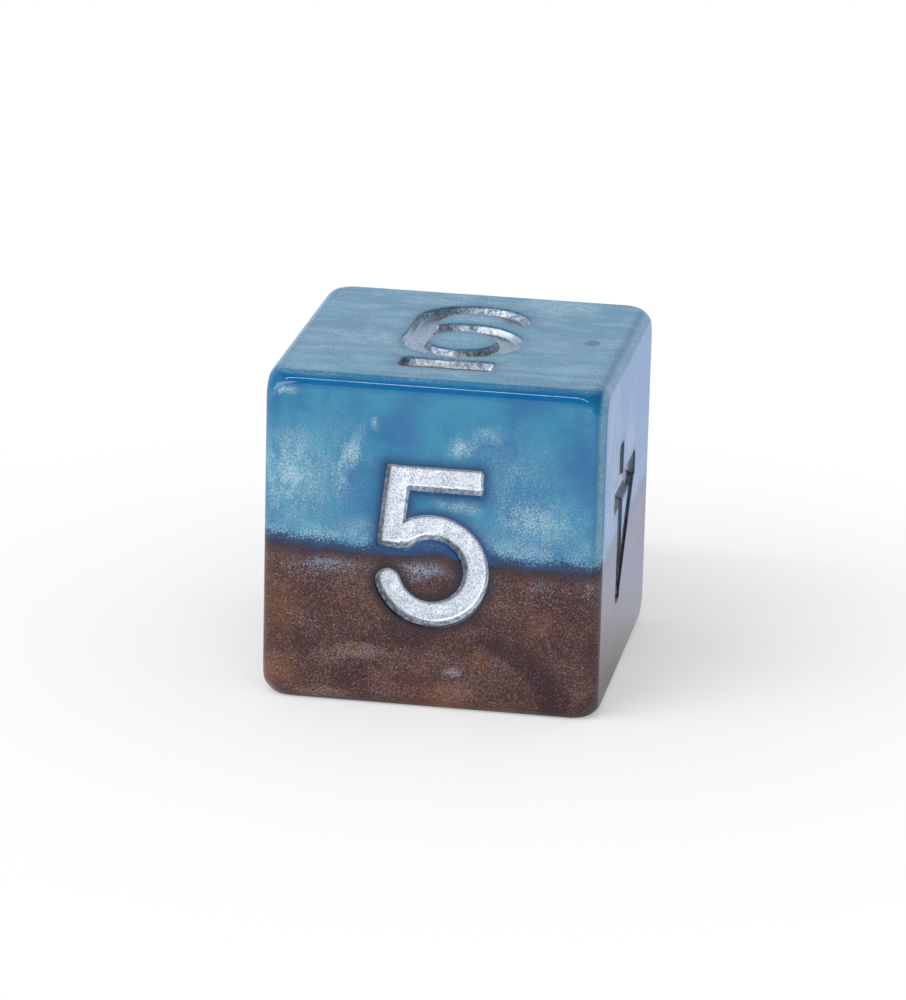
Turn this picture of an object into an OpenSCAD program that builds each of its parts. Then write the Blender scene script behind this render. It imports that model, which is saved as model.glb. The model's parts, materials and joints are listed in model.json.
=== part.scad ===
// Six-sided die, cast from two pours of resin, with sunk and painted numerals.
// Millimetres. The die stands on its "1" face, centred on the Z axis, with the
// "5" to the front (-Y), the "6" on top and the "4" to the right (+X).

/* [Die] */
// Distance between two opposite faces
die_size = 16; // [14:0.5:25]
// Rounding of the twelve edges
edge_r = 0.6; // [0.3:0.05:0.9]
// Rounding of the eight corners, blunter than the edges
corner_r = 2; // [1.2:0.1:2.6]

/* [Pours] */
// Mean height of the boundary between the two pours
pour_h = 7.4; // [6:0.1:9]
// Fall of the boundary from the left face to the right face
pour_fall = 0.3; // [0:0.05:0.8]
// Height of the waves on the boundary
pour_wave = 0.12; // [0.04:0.01:0.3]
// Length of the waves on the boundary
pour_wave_len = 9; // [6:0.5:16]

/* [Strokes] */
// Width of a numeral's stroke at the face
stroke_w = 1.25; // [0.9:0.05:1.4]
// Depth of the strokes below the face
stroke_depth = 0.45; // [0.3:0.05:0.7]
// Lean of the strokes' walls, in degrees
wall_lean = 20; // [5:1:30]
// Thickness of the paint on the strokes' floor and walls
coat = 0.07; // [0.04:0.01:0.12]
// Height of the bare rim between the paint and the face
bare_rim = 0.1; // [0.05:0.01:0.15]

/* [Numerals 1 to 5] */
// Height of these numerals
numeral_h = 7.8; // [7:0.1:9]
// Radius of the bowl of the 5, on the stroke's centre line
five_bowl_r = 2.12; // [1.8:0.02:2.3]
// Where the bowl of the 5 ends, in degrees below the left
five_bowl_end = 17; // [5:1:30]
// Where the bowl of the 5 leaves the stem, in degrees above the left
five_bowl_start = 35; // [30:1:45]
// Width of the 5's upper bar
five_bar_w = 4.6; // [4:0.1:5]
// Distance from the bowl's middle to the bar's middle
five_bar_shift = 0.1; // [0:0.05:0.3]
// Lean of the 5's stem, in degrees
five_stem_lean = 6; // [0:0.5:8]
// Width of the 4 from its left corner to its stem
four_w = 5.4; // [5:0.1:6]
// Length of the 4's crossbar beyond its stem
four_tail = 1.4; // [0.8:0.1:1.8]
// Height of the 4's crossbar above its foot
four_bar_h = 2.3; // [1.8:0.1:2.6]
// Radius of the 3's upper bowl, on the stroke's centre line
three_upper_r = 1.52; // [1.4:0.02:1.7]
// Length of the 3's middle bar
three_bar = 0.8; // [0.4:0.1:1.2]
// Distance between the centre lines of the 3's two bowls at that bar
three_waist = 0.1; // [0.05:0.01:0.3]
// Where both bowls of the 3 end, in degrees beyond the left
three_bowl_end = 28; // [15:1:40]
// Radius of the bow of the 2, on the stroke's centre line
two_bow_r = 1.75; // [1.5:0.05:2]
// Where the bow of the 2 ends, in degrees above the left
two_bow_end = 20; // [0:1:40]
// Width of the 2's foot
two_foot_w = 4.7; // [4:0.1:5.4]
// Width of the 1's flag
one_flag_w = 1.6; // [1.2:0.1:2]
// Fall of the 1's flag, in degrees below the level
one_flag_fall = 38; // [25:1:50]

/* [Numeral 6] */
// Radius of the loop of the 6, on the stroke's centre line
six_loop_r = 2.25; // [2:0.05:2.4]
// Distance of the loop's centre below the middle of the face
six_loop_drop = 0.65; // [0.3:0.05:1]
// Height of the 6's straight stem above the loop's centre
six_stem = 3.25; // [2.6:0.05:3.6]
// Distance from the left edge of the loop in to the left edge of the stem
six_stem_inset = 0.05; // [0.03:0.01:0.15]
// Where the hook of the 6 ends, in degrees above the right
six_hook_end = 12; // [0:1:40]
// Length of the bar under the 6
underline_len = 4.5; // [3.6:0.1:5.4]
// Width of the bar under the 6
underline_w = 1.6; // [1.1:0.05:1.7]
// Gap between the loop of the 6 and its bar
underline_gap = 0.5; // [0.35:0.05:0.6]

/* [Hidden] */
$fn = 96;

half = die_size / 2;
spare = 0.4;                        // how far cutting shapes run past what they cut
joint_stand_out = 0.03;             // how far a round joint stands out beside its strokes
run_on = 2;                         // how far an arc runs on into a joint, in degrees
half_stroke = stroke_w / 2;
cap_y = numeral_h / 2;              // top of the numerals 1 to 5
line_top = cap_y - half_stroke;     // centre line of their uppermost stroke
blue = [0.24, 0.52, 0.66];
copper = [0.36, 0.25, 0.23];
silver = [0.78, 0.79, 0.82];

// ---- The cast body -------------------------------------------------------

// One eighth of a ball, for a corner
module ball_octant(r) {
    rotate_extrude(angle = 90)
        intersection() {
            circle(r);
            square(r);
        }
}

// One quarter of a rod, for an edge
module rod_quarter(r, length) {
    linear_extrude(length, center = true)
        intersection() {
            circle(r);
            square(r);
        }
}

// A cube with rounded edges and ball corners, built up from blocks that meet face to face
module rounded_cube(half_side, r) {
    c = half_side - r;
    cube(2 * c, center = true);
    for (turn = [[0, 0, 0], [90, 0, 0], [0, 90, 0]])
        for (side = [-1, 1])
            rotate(turn)
                translate([0, 0, side * (c + r / 2)])
                    cube([2 * c, 2 * c, r], center = true);
    for (turn = [[0, 0, 0], [90, 0, 0], [0, 90, 0]])
        for (quarter = [0:3])
            rotate(turn)
                rotate(quarter * 90)
                    translate([c, c, 0])
                        rod_quarter(r, 2 * c);
    for (flip = [0, 1])
        for (quarter = [0:3])
            mirror([0, 0, flip])
                rotate(quarter * 90)
                    translate([c, c, c])
                        ball_octant(r);
}

// How far a cube with rounding corner_r stands outside one with edge_r
// so that it leaves the edges alone and blunts only the corners
edge_clearance = 0.02;
corner_stand_off = (corner_r - edge_r) * (1 - 1 / sqrt(2)) + edge_clearance;

module die_body() {
    translate([0, 0, half])
        intersection() {
            rounded_cube(half, edge_r);
            rounded_cube(half + corner_stand_off, corner_r);
        }
}

// ---- The boundary between the two pours ----------------------------------

pour_cells = 12;
pour_reach = half + spare;
pour_top = die_size + spare;

function pour_z(x, y) =
    pour_h - pour_fall * x / die_size
    + pour_wave * sin(360 * x / pour_wave_len + 60)
    + pour_wave / 2 * sin(360 * (y - x / 2) / pour_wave_len);

function pour_grid(i) = pour_reach * (2 * i / pour_cells - 1);
function pour_at(i, j) = i * (pour_cells + 1) + j;

// Everything above the wavy boundary
module above_pour() {
    n = pour_cells;
    roof = pour_at(n, n) + 1;
    sheet = [
        for (i = [0:n]) for (j = [0:n])
            [pour_grid(i), pour_grid(j), pour_z(pour_grid(i), pour_grid(j))]
    ];
    roof_corners = [
        for (c = [[-1, -1], [1, -1], [1, 1], [-1, 1]])
            [c[0] * pour_reach, c[1] * pour_reach, pour_top]
    ];
    sheet_faces = [
        for (i = [0:n - 1]) for (j = [0:n - 1])
            for (half_cell = [0, 1])
                half_cell == 0
                    ? [pour_at(i, j), pour_at(i + 1, j), pour_at(i + 1, j + 1)]
                    : [pour_at(i, j), pour_at(i + 1, j + 1), pour_at(i, j + 1)]
    ];
    front_face = concat([pour_at(0, 0), roof, roof + 1], [for (k = [n:-1:1]) pour_at(k, 0)]);
    right_face = concat([pour_at(n, 0), roof + 1, roof + 2], [for (k = [n:-1:1]) pour_at(n, k)]);
    back_face = concat([pour_at(n, n), roof + 2, roof + 3], [for (k = [0:n - 1]) pour_at(k, n)]);
    left_face = concat([pour_at(0, n), roof + 3, roof], [for (k = [0:n - 1]) pour_at(0, k)]);
    roof_face = [roof, roof + 3, roof + 2, roof + 1];
    polyhedron(
        concat(sheet, roof_corners),
        concat(sheet_faces, [front_face, right_face, back_face, left_face, roof_face])
    );
}

// ---- Strokes: sunk grooves with leaning walls ----------------------------
// Strokes lie on the plane Z = 0 and are cut downwards. "inset" shrinks a
// stroke on its floor and walls, which leaves room for a coat of paint.

// Half the width of a groove at a height above the face
function groove_half(half_width, height, inset) =
    half_width + height * tan(wall_lean) - inset / cos(wall_lean);

// Cross-section of a groove from wall to wall, or from its middle to the right-hand wall
module groove_section(half_width, inset, whole = true) {
    floor_y = inset - stroke_depth;
    at_floor = groove_half(half_width, floor_y, inset);
    at_top = groove_half(half_width, spare, inset);
    left = whole ? -1 : 0;
    polygon([
        [left * at_floor, floor_y], [at_floor, floor_y],
        [at_top, spare], [left * at_top, spare]
    ]);
}

// Straight stroke from the origin along X, with open ends
module run_stroke(length, inset) {
    rotate([90, 0, 90])
        linear_extrude(length)
            groove_section(half_stroke, inset);
}

// Half-round end at the origin that points along -X
module round_end(inset) {
    rotate(90)
        rotate_extrude(angle = 180)
            groove_section(half_stroke, inset, whole = false);
}

// Straight stroke between two points that starts with a round end if asked
module straight_stroke(from, to, inset, rounded = false) {
    way = to - from;
    translate(from)
        rotate(atan2(way[1], way[0])) {
            run_stroke(norm(way), inset);
            if (rounded) round_end(inset);
        }
}

// Stroke with square ends that lean like its sides; "length" is its full length at the face
module bar_stroke(middle, length, turn, inset, half_width = half_stroke) {
    translate(middle)
        rotate(turn)
            intersection() {
                rotate([90, 0, 90])
                    linear_extrude(length + 2 * spare, center = true)
                        groove_section(half_width, inset);
                rotate([90, 0, 0])
                    linear_extrude(2 * (half_width + spare), center = true)
                        groove_section(length / 2, inset);
            }
}

// Bar stroke given by the two ends of its centre line
module bar_between(from, to, inset) {
    way = to - from;
    bar_stroke((from + to) / 2, norm(way), atan2(way[1], way[0]), inset);
}

// Stroke along a circle that starts at the angle "start", with a round end there if asked,
// and runs on for "sweep" degrees, clockwise where "sweep" is negative
module arc_stroke(centre, r, start, sweep, inset, rounded = true) {
    translate(centre)
        rotate(start)
            mirror([0, sweep < 0 ? 1 : 0, 0]) {
                rotate_extrude(angle = abs(sweep))
                    translate([r, 0])
                        groove_section(half_stroke, inset);
                if (rounded)
                    translate([r, 0])
                        rotate(90)
                            round_end(inset);
            }
}

// Round joint that covers the open ends of the strokes that meet at its middle
module joint(at, inset, stand_out = joint_stand_out) {
    translate(at)
        rotate_extrude()
            groove_section(half_stroke + stand_out, inset, whole = false);
}

// ---- Numerals, each on the plane Z = 0 about the middle of its face ------

module one(inset) {
    bar_between([0, -cap_y], [0, cap_y], inset);
    flag_root = [0, cap_y - half_stroke / cos(one_flag_fall)];
    flag_tip = flag_root - one_flag_w * [1, tan(one_flag_fall)];
    straight_stroke(flag_tip, flag_root, inset, rounded = true);
}

module two(inset) {
    bow = [0, line_top - two_bow_r];
    foot = [half_stroke - two_foot_w / 2, half_stroke - cap_y];
    down = foot - bow;
    bow_foot = atan2(down[1], down[0]) + acos(two_bow_r / norm(down));
    bow_tip = 180 - two_bow_end;
    leave = bow + two_bow_r * [cos(bow_foot), sin(bow_foot)];
    arc_stroke(bow, two_bow_r, bow_tip, bow_foot - bow_tip - run_on, inset);
    joint(leave, inset);
    straight_stroke(foot, leave, inset);
    bar_stroke([0, foot[1]], two_foot_w, 0, inset);
}

module three(inset) {
    lower_r = line_top - three_upper_r - three_waist / 2;
    upper = [0, line_top - three_upper_r];
    lower = [0, lower_r - line_top];
    waist = [0, lower[1] + lower_r + three_waist / 2];
    sweep = 270 - three_bowl_end;
    arc_stroke(upper, three_upper_r, 180 - three_bowl_end, -sweep - run_on, inset);
    arc_stroke(lower, lower_r, three_bowl_end - 180, sweep + 2 * run_on, inset);
    straight_stroke(waist - [three_bar, 0], waist, inset, rounded = true);
    joint(waist, inset, stand_out = three_waist);
}

module four(inset) {
    stem_x = four_w / 2 - half_stroke;
    bar_y = four_bar_h - cap_y;
    bar_between([stem_x, -cap_y], [stem_x, cap_y], inset);
    bar_between([-four_w / 2, bar_y], [four_w / 2 + four_tail, bar_y], inset);
    straight_stroke([half_stroke - four_w / 2, bar_y], [stem_x, line_top], inset);
}

module five(inset) {
    bowl = [0, half_stroke - cap_y + five_bowl_r];
    bar_left = five_bar_shift - five_bar_w / 2;
    stem_top = [bar_left + half_stroke, cap_y];
    stem_foot = stem_top - cap_y * [tan(five_stem_lean), 1];
    tip = five_bowl_end - 180;
    bar_stroke([five_bar_shift, line_top], five_bar_w, 0, inset);
    bar_between(stem_foot, stem_top, inset);
    arc_stroke(bowl, five_bowl_r, tip, 180 - five_bowl_start - tip, inset);
}

module six(inset) {
    loop = [0, -six_loop_drop];
    hook = loop + [0, six_stem];
    hook_r = six_loop_r - six_stem_inset;
    arc_stroke(loop, six_loop_r, 0, 360, inset, rounded = false);
    straight_stroke(loop - [hook_r, 0], hook - [hook_r, 0], inset);
    joint(hook - [hook_r, 0], inset);
    arc_stroke(hook, hook_r, six_hook_end, 180 - six_hook_end + run_on, inset);
}

module underline(inset) {
    loop_foot = -six_loop_drop - six_loop_r - half_stroke;
    middle = [0, loop_foot - underline_gap - underline_w / 2];
    bar_stroke(middle, underline_len, 0, inset, underline_w / 2);
}

// ---- Faces: carry a numeral from the plane Z = 0 to the face that it is on

module on_bottom() { rotate([180, 0, 0]) children(); }
module on_back() { translate([0, half, half]) rotate([90, 0, 180]) children(); }
module on_left() { translate([-half, 0, half]) rotate([90, 0, -90]) children(); }
module on_right() { translate([half, 0, half]) rotate([90, 0, 90]) rotate(180) children(); }
module on_front() { translate([0, -half, half]) rotate([90, 0, 0]) children(); }
module on_top() { translate([0, 0, die_size]) children(); }

// Room for one numeral's paint: everything from the stroke's floor to the bare rim
module paint_depth() {
    wide = 2 * die_size;
    translate([-wide / 2, -wide / 2, -2 * stroke_depth])
        cube([wide, wide, 2 * stroke_depth - bare_rim]);
}

// ---- The pieces ----------------------------------------------------------

module blue_resin_layer() {
    color(blue)
        difference() {
            intersection() {
                die_body();
                above_pour();
            }
            on_back() two(0);
            on_left() three(0);
            on_right() four(0);
            on_front() five(0);
            on_top() six(0);
            on_top() underline(0);
        }
}

module copper_resin_layer() {
    color(copper)
        difference() {
            die_body();
            above_pour();
            on_bottom() one(0);
            on_back() two(0);
            on_left() three(0);
            on_right() four(0);
            on_front() five(0);
        }
}

module numeral_1_paint() {
    color(silver)
        on_bottom()
            difference() {
                intersection() {
                    one(0);
                    paint_depth();
                }
                one(coat);
            }
}

module numeral_2_paint() {
    color(silver)
        on_back()
            difference() {
                intersection() {
                    two(0);
                    paint_depth();
                }
                two(coat);
            }
}

module numeral_3_paint() {
    color(silver)
        on_left()
            difference() {
                intersection() {
                    three(0);
                    paint_depth();
                }
                three(coat);
            }
}

module numeral_4_paint() {
    color(silver)
        on_right()
            difference() {
                intersection() {
                    four(0);
                    paint_depth();
                }
                four(coat);
            }
}

module numeral_5_paint() {
    color(silver)
        on_front()
            difference() {
                intersection() {
                    five(0);
                    paint_depth();
                }
                five(coat);
            }
}

module numeral_6_paint() {
    color(silver)
        on_top()
            difference() {
                intersection() {
                    six(0);
                    paint_depth();
                }
                six(coat);
            }
}

module six_underline_paint() {
    color(silver)
        on_top()
            difference() {
                intersection() {
                    underline(0);
                    paint_depth();
                }
                underline(coat);
            }
}

blue_resin_layer();
copper_resin_layer();
numeral_1_paint();
numeral_2_paint();
numeral_3_paint();
numeral_4_paint();
numeral_5_paint();
numeral_6_paint();
six_underline_paint();
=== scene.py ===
"""A six-sided die cast from two pours of resin, with sunk numerals under silver paint.

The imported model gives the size, the places and the bodies. Each node is stood in for by a
finer mesh of the same form: smooth edges and corners, grooves with rounded rims and floors,
and a coat of paint in them. Lengths are in millimetres until a mesh is made.
"""
import json
import math

import bpy
import numpy as np
from mathutils import Matrix, Vector
from mathutils.geometry import delaunay_2d_cdt

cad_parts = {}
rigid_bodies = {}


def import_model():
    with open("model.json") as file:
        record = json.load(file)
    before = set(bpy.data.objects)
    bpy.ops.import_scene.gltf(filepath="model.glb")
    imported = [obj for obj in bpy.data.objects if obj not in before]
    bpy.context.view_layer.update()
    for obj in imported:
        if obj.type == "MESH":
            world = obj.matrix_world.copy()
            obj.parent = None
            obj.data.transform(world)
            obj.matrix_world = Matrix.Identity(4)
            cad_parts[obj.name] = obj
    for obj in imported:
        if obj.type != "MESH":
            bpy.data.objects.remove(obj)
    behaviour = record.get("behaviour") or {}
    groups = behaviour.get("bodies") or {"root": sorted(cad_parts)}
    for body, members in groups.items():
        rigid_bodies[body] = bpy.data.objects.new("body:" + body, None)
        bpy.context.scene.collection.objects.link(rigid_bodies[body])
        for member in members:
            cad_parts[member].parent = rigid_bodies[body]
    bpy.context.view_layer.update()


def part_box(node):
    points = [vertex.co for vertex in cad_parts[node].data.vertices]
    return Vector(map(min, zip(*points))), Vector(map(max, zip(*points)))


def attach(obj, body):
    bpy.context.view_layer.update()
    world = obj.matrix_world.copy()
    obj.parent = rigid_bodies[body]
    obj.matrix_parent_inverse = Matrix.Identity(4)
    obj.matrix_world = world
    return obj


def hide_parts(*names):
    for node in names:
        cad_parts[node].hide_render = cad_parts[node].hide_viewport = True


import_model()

MM = 0.001

# ---- Sizes -----------------------------------------------------------------

blue_low, blue_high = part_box("blue_resin_layer")
die_size = (blue_high.x - blue_low.x) / MM
half = die_size / 2
edge_r = 0.6
corner_r = 2.0
edge_clearance = 0.02
corner_blend = 0.12            # softens the line where a corner's ball meets the edges

pour_h = 7.4
pour_fall = 0.3
pour_wave = 0.12
pour_wave_len = 9.0
pour_phase = math.radians(60)  # how far on the longer wave is at the die's middle

half_stroke = 0.625
stroke_depth = 0.45
wall_lean = math.radians(18)
coat = 0.06
bare_rim = 0.09
rim_r = 0.10                   # rounding where a groove's wall meets the face
floor_r = 0.13                 # rounding where a groove's wall meets its floor

numeral_h = 7.8
cap_y = numeral_h / 2
line_top = cap_y - half_stroke
six_loop_r = 2.25
six_drop = 0.65                # how far the middle of the 6's loop lies below the face's middle

# ---- The form of the cast body ---------------------------------------------


def round_box_distance(p, half_side, r):
    """Signed distance from points to a cube with all its edges and corners rounded."""
    q = np.abs(p) - (half_side - r)
    outside = np.linalg.norm(np.maximum(q, 0), axis=-1)
    inside = np.minimum(q.max(axis=-1), 0)
    return outside + inside - r


def smooth_max(a, b, blend):
    gap = np.maximum(blend - np.abs(a - b), 0) / blend
    return np.maximum(a, b) + gap * gap * blend / 4


def body_distance(p):
    """Signed distance to the die about its middle: light edges, blunter corners."""
    stand_off = (corner_r - edge_r) * (1 - math.sqrt(0.5)) + edge_clearance
    edges = round_box_distance(p, half, edge_r)
    corners = round_box_distance(p, half + stand_off, corner_r)
    return smooth_max(edges, corners, corner_blend)


def body_normal(p):
    step = 1e-4
    axes = np.eye(3) * step
    slope = [body_distance(p + a) - body_distance(p - a) for a in axes]
    n = np.stack(slope, axis=-1)
    return n / np.linalg.norm(n, axis=-1, keepdims=True)


def onto_body(q):
    """Moves points of a sharp cube's surface onto the rounded body."""
    base = np.clip(q, corner_r - half, half - corner_r)
    ray = q - base
    ray /= np.linalg.norm(ray, axis=-1, keepdims=True)
    near = np.zeros(len(q))
    far = np.full(len(q), 2 * corner_r)
    halvings = 40
    for _ in range(halvings):
        middle = (near + far) / 2
        outside = body_distance(base + ray * middle[:, None]) > 0
        far = np.where(outside, middle, far)
        near = np.where(outside, near, middle)
    return base + ray * near[:, None]


def pour_z(x, y):
    """Height of the boundary between the two pours."""
    turn = 2 * math.pi / pour_wave_len
    return (pour_h - pour_fall * x / die_size
            + pour_wave * np.sin(turn * x + pour_phase)
            + pour_wave / 2 * np.sin(turn * (y - x / 2)))


# ---- Numerals as distances to their outlines on a face ----------------------


def bar(p, middle, length, turn=0.0, half_width=half_stroke, corner=0.2):
    """Square-ended stroke about its middle, with lightly rounded corners."""
    c, s = math.cos(turn), math.sin(turn)
    q = p - np.array(middle)
    along = np.abs(q[..., 0] * c + q[..., 1] * s) - (length / 2 - corner)
    across = np.abs(q[..., 1] * c - q[..., 0] * s) - (half_width - corner)
    outside = np.hypot(np.maximum(along, 0), np.maximum(across, 0))
    return outside + np.minimum(np.maximum(along, across), 0) - corner


def bar_between(p, start, end, corner=0.2):
    way = np.subtract(end, start)
    middle = np.add(start, end) / 2
    return bar(p, middle, np.hypot(*way), math.atan2(way[1], way[0]), corner=corner)


def run(p, start, end):
    """Stroke between two points with round ends."""
    way = np.subtract(end, start)
    q = p - np.array(start)
    share = np.clip((q @ way) / (way @ way), 0, 1)
    return np.linalg.norm(q - share[..., None] * way, axis=-1) - half_stroke


def arc(p, centre, r, start, end, square_end=False):
    """Stroke along a circle, counter-clockwise between two angles in degrees.

    Both ends are round, unless the second one is cut square.
    """
    q = p - np.array(centre)
    middle = math.radians((start + end) / 2)
    reach = math.radians((end - start) / 2)
    turn = np.arctan2(q[..., 1], q[..., 0]) - middle
    turn = (turn + math.pi) % (2 * math.pi) - math.pi
    from_centre = np.hypot(q[..., 0], q[..., 1])
    on_arc = np.abs(from_centre - r)
    ends = [centre + r * np.array([math.cos(middle + k * reach), math.sin(middle + k * reach)])
            for k in (-1, 1)]
    off_end = [np.linalg.norm(p - e, axis=-1) for e in ends]
    if not square_end:
        return np.where(np.abs(turn) <= reach, on_arc, np.minimum(*off_end)) - half_stroke
    past = turn - reach
    softness = 0.35                                # of the corners at the square end
    cut = np.where(np.abs(past) < math.pi / 2, from_centre * np.sin(past), -r)
    return np.where(turn < -reach, off_end[0] - half_stroke,
                    smooth_max(on_arc - half_stroke, cut, softness))


def join(*parts, blend=0.1):
    """Union of strokes with a small fillet where they meet."""
    d = parts[0]
    for other in parts[1:]:
        gap = np.maximum(blend - np.abs(d - other), 0) / blend
        d = np.minimum(d, other) - gap * gap * blend / 4
    return d


def one(p):
    fall, flag = math.radians(38), 1.6
    root = np.array([0, cap_y - half_stroke / math.cos(fall)])
    tip = root - flag * np.array([1, math.tan(fall)])
    return join(bar_between(p, [0, -cap_y], [0, cap_y]), run(p, tip, root))


def two(p):
    r, foot_w, bow_end = 1.75, 4.7, 160
    bow = np.array([0, line_top - r])
    foot = np.array([half_stroke - foot_w / 2, half_stroke - cap_y])
    down = foot - bow
    leave = math.degrees(math.atan2(down[1], down[0]) + math.acos(r / np.hypot(*down)))
    corner = bow + r * np.array([math.cos(math.radians(leave)), math.sin(math.radians(leave))])
    return join(np.minimum(arc(p, bow, r, leave, bow_end), run(p, foot, corner)),
                bar(p, [0, foot[1]], foot_w))


def three(p):
    upper_r, waist_gap, waist_len, bowl_end = 1.52, 0.1, 0.8, 152
    lower_r = line_top - upper_r - waist_gap / 2
    upper = np.array([0, line_top - upper_r])
    lower = np.array([0, lower_r - line_top])
    waist = np.array([0, lower[1] + lower_r + waist_gap / 2])
    middle_bar = run(p, waist - [waist_len, 0], waist)
    return join(np.minimum(arc(p, upper, upper_r, -90, bowl_end), middle_bar),
                arc(p, lower, lower_r, -bowl_end, 90))


def four(p):
    width, tail, bar_h = 5.4, 1.4, 2.3
    stem_x = width / 2 - half_stroke
    bar_y = bar_h - cap_y
    return join(bar_between(p, [stem_x, -cap_y], [stem_x, cap_y]),
                bar_between(p, [-width / 2, bar_y], [width / 2 + tail, bar_y]),
                run(p, [half_stroke - width / 2, bar_y], [stem_x, line_top]))


def five(p):
    r, bar_w, shift, slant, foot_drop = 2.12, 4.6, 0.1, math.radians(6), 0.15
    bowl_start, bowl_end = -163, 145
    bowl = np.array([0, half_stroke - cap_y + r])
    top = np.array([shift - bar_w / 2 + half_stroke, cap_y])
    foot = top - (cap_y + foot_drop) * np.array([math.tan(slant), 1])
    return join(np.minimum(bar(p, [shift, line_top], bar_w), bar_between(p, foot, top)),
                arc(p, bowl, r, bowl_start, bowl_end, square_end=True))


def six(p):
    stem, inset, hook_end = 3.25, 0.05, 12
    loop = np.array([0, -six_drop])
    hook = loop + [0, stem]
    hook_r = six_loop_r - inset
    ring = np.abs(np.linalg.norm(p - loop, axis=-1) - six_loop_r) - half_stroke
    rise = run(p, loop - [hook_r, 0], hook - [hook_r, 0])
    return join(ring, np.minimum(rise, arc(p, hook, hook_r, hook_end, 180)))


def underline(p):
    length, width, gap, corner = 4.5, 1.6, 0.5, 0.42
    loop_foot = -six_drop - six_loop_r - half_stroke
    return bar(p, [0, loop_foot - gap - width / 2], length, half_width=width / 2, corner=corner)


# ---- Profile of a groove and of the paint in it ------------------------------
# Each profile runs from the face inwards as (distance to the outline, height, tilt).

HEIGHT = 1                                         # a profile's columns
TILT = 2


def rounded_groove(wall_d, top_h, floor_h, top_r, bottom_r, steps=5):
    """Profile with a wall that crosses height 0 at the distance wall_d."""
    rise = math.pi / 2 - wall_lean                 # the wall's slope above level
    cut_top = top_r * math.tan(rise / 2)
    cut_floor = bottom_r * math.tan(rise / 2)
    lean = math.tan(wall_lean)
    top_d = wall_d + top_h * lean
    floor_d = wall_d + floor_h * lean
    points = []
    for k in range(steps + 1):
        t = rise * k / steps
        points.append((top_d + cut_top - top_r * math.sin(t), top_h - top_r * (1 - math.cos(t)), t))
    for k in range(steps + 1):
        t = rise * (1 - k / steps)
        points.append((floor_d - cut_floor + bottom_r * math.sin(t),
                       floor_h + bottom_r * (1 - math.cos(t)), t))
    return np.array(points)


resin_profile = rounded_groove(0.0, 0.0, -stroke_depth, rim_r, floor_r)
paint_edge = -bare_rim * math.tan(wall_lean)       # where the paint meets the bare rim
paint_floor = rounded_groove(-coat / math.cos(wall_lean), 0.0, coat - stroke_depth, rim_r, floor_r)
paint_floor = paint_floor[len(paint_floor) // 2:]
paint_profile = np.vstack([(paint_edge, -bare_rim, paint_floor[0, TILT]), paint_floor])


def along_profile(profile, d, column):
    """A profile's height or tilt at distances to the outline."""
    inwards = profile[::-1]
    return np.interp(d, inwards[:, 0], inwards[:, column])


# ---- Meshing one face of the die ----------------------------------------------


def contours(distance, level, window, cell=0.06, spacing=0.07):
    """Closed loops where the distance has one value, as evenly spaced points."""
    (x0, y0), (x1, y1) = window
    xs = np.arange(x0, x1 + cell, cell)
    ys = np.arange(y0, y1 + cell, cell)
    grid = np.stack(np.meshgrid(xs, ys, indexing="ij"), axis=-1)
    value = distance(grid) - level
    value[value == 0] = 1e-9
    crossings, links = {}, {}

    def cross(a, b):
        """Point on the grid line from a to b, kept once by its own key."""
        key = (min(a, b), max(a, b))
        if key not in crossings:
            va, vb = value[a], value[b]
            crossings[key] = grid[a] + (grid[b] - grid[a]) * va / (va - vb)
        return key

    signs = value > 0
    mixed = (signs[:-1, :-1].astype(int) + signs[1:, :-1] + signs[1:, 1:] + signs[:-1, 1:]) % 4
    for i, j in np.argwhere(mixed != 0):
        i, j = int(i), int(j)
        ring = [(i, j), (i + 1, j), (i + 1, j + 1), (i, j + 1)]
        keys = [cross(a, b) for a, b in zip(ring, ring[1:] + ring[:1]) if signs[a] != signs[b]]
        for a, b in zip(keys[::2], keys[1::2]):
            links.setdefault(a, []).append(b)
            links.setdefault(b, []).append(a)
    loops = []
    left = set(links)
    while left:
        start = min(left)
        chain, before, here = [start], None, start
        left.discard(start)
        while True:
            onward = [k for k in links[here] if k != before and k in left]
            if not onward:
                break
            before, here = here, onward[0]
            left.discard(here)
            chain.append(here)
        loops.append(even_loop(distance, level, np.array([crossings[k] for k in chain]), spacing))
    return loops


def even_loop(distance, level, loop, spacing):
    """The same loop with evenly spaced points, each moved exactly onto the level."""
    closed = np.vstack([loop, loop[:1]])
    steps = np.linalg.norm(np.diff(closed, axis=0), axis=1)
    run_length = np.concatenate([[0], np.cumsum(steps)])
    count = max(8, int(round(run_length[-1] / spacing)))
    at = np.linspace(0, run_length[-1], count, endpoint=False)
    points = np.stack([np.interp(at, run_length, closed[:, k]) for k in (0, 1)], axis=1)
    for _ in range(3):
        slope = distance_slope(distance, points)
        points -= (distance(points) - level)[:, None] * slope
    return points


def distance_slope(distance, p):
    step = 1e-4
    dx = distance(p + [step, 0]) - distance(p - [step, 0])
    dy = distance(p + [0, step]) - distance(p - [0, step])
    slope = np.stack([dx, dy], axis=-1)
    return slope / np.maximum(np.linalg.norm(slope, axis=-1, keepdims=True), 1e-9)


def lattice_lines():
    """Where the mesh's lines cross a face: wide on the flat, close round the edges."""
    bend = half - edge_r
    flat = np.arange(7.0)
    nearing = [6.5, 6.9, 7.2]
    round_edge = bend + (half - bend) * np.linspace(0, 1, 11)
    lines = np.concatenate([flat, nearing, round_edge])
    return np.concatenate([-lines[:0:-1], lines])


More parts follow.
